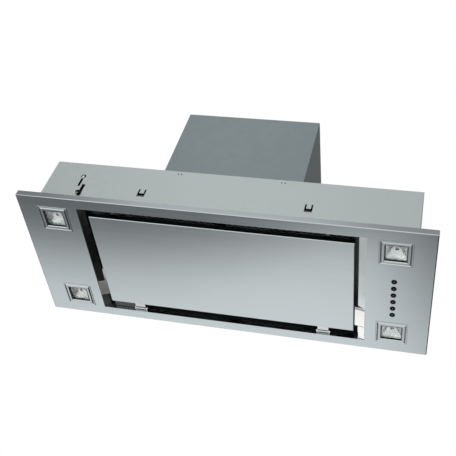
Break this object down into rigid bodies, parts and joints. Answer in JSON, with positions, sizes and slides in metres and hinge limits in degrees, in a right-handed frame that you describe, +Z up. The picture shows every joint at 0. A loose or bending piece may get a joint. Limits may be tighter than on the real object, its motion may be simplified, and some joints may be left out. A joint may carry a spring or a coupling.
{
  "type": "ceiling range hood",
  "caption": "Ceiling range hood for a cut-out: steel face plate with corner lamps and push buttons, hinged perimeter-suction panel, housing, blower box and duct collar.",
  "frame": {"origin": "centre of the ceiling cut-out in the plane of the ceiling, which is the upper face of the plate's lip", "axes": "+Z up into the ceiling, +X to the right along the plate, towards the buttons, +Y to the rear, towards the panel's hinges"},
  "size_m": [0.86, 0.356, 0.4048],
  "materials": {
    "plate_steel": "brushed along its length, satin",
    "housing_steel": "galvanised sheet, matt",
    "bright_steel": "smooth, bright",
    "clamp_steel": "zinc plated, satin",
    "filter_aluminium": "expanded mesh in a rolled frame, satin",
    "latch_plastic": "moulded, fine grain",
    "bezel_silver": "satin",
    "lamp_glass": "clear, flat",
    "reflector": "polished",
    "bulb_glass": "clear capsule",
    "lamp_ceramic": "unglazed",
    "button_black": "moulded, satin",
    "block_plastic": "moulded, matt",
    "impeller_plastic": "moulded, matt",
    "motor_paint": "black enamel",
    "collar_plastic": "moulded, matt",
    "gland_plastic": "moulded, matt"
  },
  "bodies": {
    "hood": {"face_plate": "plate_steel", "housing_shell": "housing_steel", "motor_box": "housing_steel", "motor_box_lid": "housing_steel", "partition_left": "housing_steel", "partition_right": "housing_steel", "filter_rail_front": "housing_steel", "filter_rail_rear": "housing_steel", "inlet_plate": "housing_steel", "blower_scroll": "housing_steel", "air_deflector_left": "bright_steel", "air_deflector_right": "bright_steel", "filter_ledge_left": "bright_steel", "filter_ledge_right": "bright_steel", "hinge_brackets": "bright_steel", "hinge_pins": "bright_steel", "catch_clips": "bright_steel", "clamp_keepers": "clamp_steel", "clamp_screws": "clamp_steel", "motor_bracket": "clamp_steel", "flap_axle": "clamp_steel", "filter_frame_left": "filter_aluminium", "filter_frame_right": "filter_aluminium", "filter_mesh_left": "filter_aluminium", "filter_mesh_right": "filter_aluminium", "lamp_bezel_front_left": "bezel_silver", "lamp_bezel_front_right": "bezel_silver", "lamp_bezel_rear_left": "bezel_silver", "lamp_bezel_rear_right": "bezel_silver", "lamp_glass_front_left": "lamp_glass", "lamp_glass_front_right": "lamp_glass", "lamp_glass_rear_left": "lamp_glass", "lamp_glass_rear_right": "lamp_glass", "lamp_reflectors": "reflector", "lamp_bulbs": "bulb_glass", "lamp_holders": "lamp_ceramic", "button_block": "block_plastic", "control_box": "block_plastic", "lamp_driver": "block_plastic", "motor": "motor_paint", "duct_collar": "collar_plastic", "cable_gland": "gland_plastic"},
    "panel": {"panel_skin": "plate_steel", "panel_backing": "housing_steel", "hinge_leaf_left": "bright_steel", "hinge_leaf_right": "bright_steel", "catch_blades": "bright_steel"},
    "impeller": {"impeller": "impeller_plastic"},
    "flap_front": {"flap_front": "collar_plastic"},
    "flap_rear": {"flap_rear": "collar_plastic"},
    "filter_latch_left": {"filter_latch_left": "latch_plastic"},
    "filter_latch_right": {"filter_latch_right": "latch_plastic"},
    "side_clamp_front_left": {"side_clamp_front_left": "clamp_steel"},
    "side_clamp_rear_right": {"side_clamp_rear_right": "clamp_steel"},
    "button_1": {"button_1": "button_black"},
    "button_2": {"button_2": "button_black"},
    "button_3": {"button_3": "button_black"},
    "button_4": {"button_4": "button_black"},
    "button_5": {"button_5": "button_black"},
    "button_6": {"button_6": "button_black"}
  },
  "joints": [
    {"name": "panel_hinge", "type": "hinge", "parent": "hood", "child": "panel", "pos_m": [0, 0.146, -0.007], "axis": [1, 0, 0], "range_deg": [0, 90]},
    {"name": "impeller_spin", "type": "hinge", "parent": "hood", "child": "impeller", "pos_m": [0, -0.03, 0.222], "axis": [1, 0, 0], "continuous": true},
    {"name": "flap_front_hinge", "type": "hinge", "parent": "hood", "child": "flap_front", "pos_m": [0, 0.0075, 0.352], "axis": [-1, 0, 0], "range_deg": [0, 75]},
    {"name": "flap_rear_hinge", "type": "hinge", "parent": "hood", "child": "flap_rear", "pos_m": [0, 0.0075, 0.352], "axis": [1, 0, 0], "range_deg": [0, 75]},
    {"name": "filter_latch_left_slide", "type": "slide", "parent": "hood", "child": "filter_latch_left", "axis": [0, 1, 0], "range_m": [0, 0.007], "stiffness_N_per_m": 200, "springref_m": -0.003},
    {"name": "filter_latch_right_slide", "type": "slide", "parent": "hood", "child": "filter_latch_right", "axis": [0, 1, 0], "range_m": [0, 0.007], "stiffness_N_per_m": 200, "springref_m": -0.003},
    {"name": "side_clamp_front_left_slide", "type": "slide", "parent": "hood", "child": "side_clamp_front_left", "axis": [0, 0, 1], "range_m": [-0.005, 0.021]},
    {"name": "side_clamp_rear_right_slide", "type": "slide", "parent": "hood", "child": "side_clamp_rear_right", "axis": [0, 0, 1], "range_m": [-0.005, 0.021]},
    {"name": "button_1_press", "type": "slide", "parent": "hood", "child": "button_1", "axis": [0, 0, 1], "range_m": [0, 0.002], "stiffness_N_per_m": 400, "springref_m": -0.002},
    {"name": "button_2_press", "type": "slide", "parent": "hood", "child": "button_2", "axis": [0, 0, 1], "range_m": [0, 0.002], "stiffness_N_per_m": 400, "springref_m": -0.002},
    {"name": "button_3_press", "type": "slide", "parent": "hood", "child": "button_3", "axis": [0, 0, 1], "range_m": [0, 0.002], "stiffness_N_per_m": 400, "springref_m": -0.002},
    {"name": "button_4_press", "type": "slide", "parent": "hood", "child": "button_4", "axis": [0, 0, 1], "range_m": [0, 0.002], "stiffness_N_per_m": 400, "springref_m": -0.002},
    {"name": "button_5_press", "type": "slide", "parent": "hood", "child": "button_5", "axis": [0, 0, 1], "range_m": [0, 0.002], "stiffness_N_per_m": 400, "springref_m": -0.002},
    {"name": "button_6_press", "type": "slide", "parent": "hood", "child": "button_6", "axis": [0, 0, 1], "range_m": [0, 0.002], "stiffness_N_per_m": 400, "springref_m": -0.002}
  ]
}
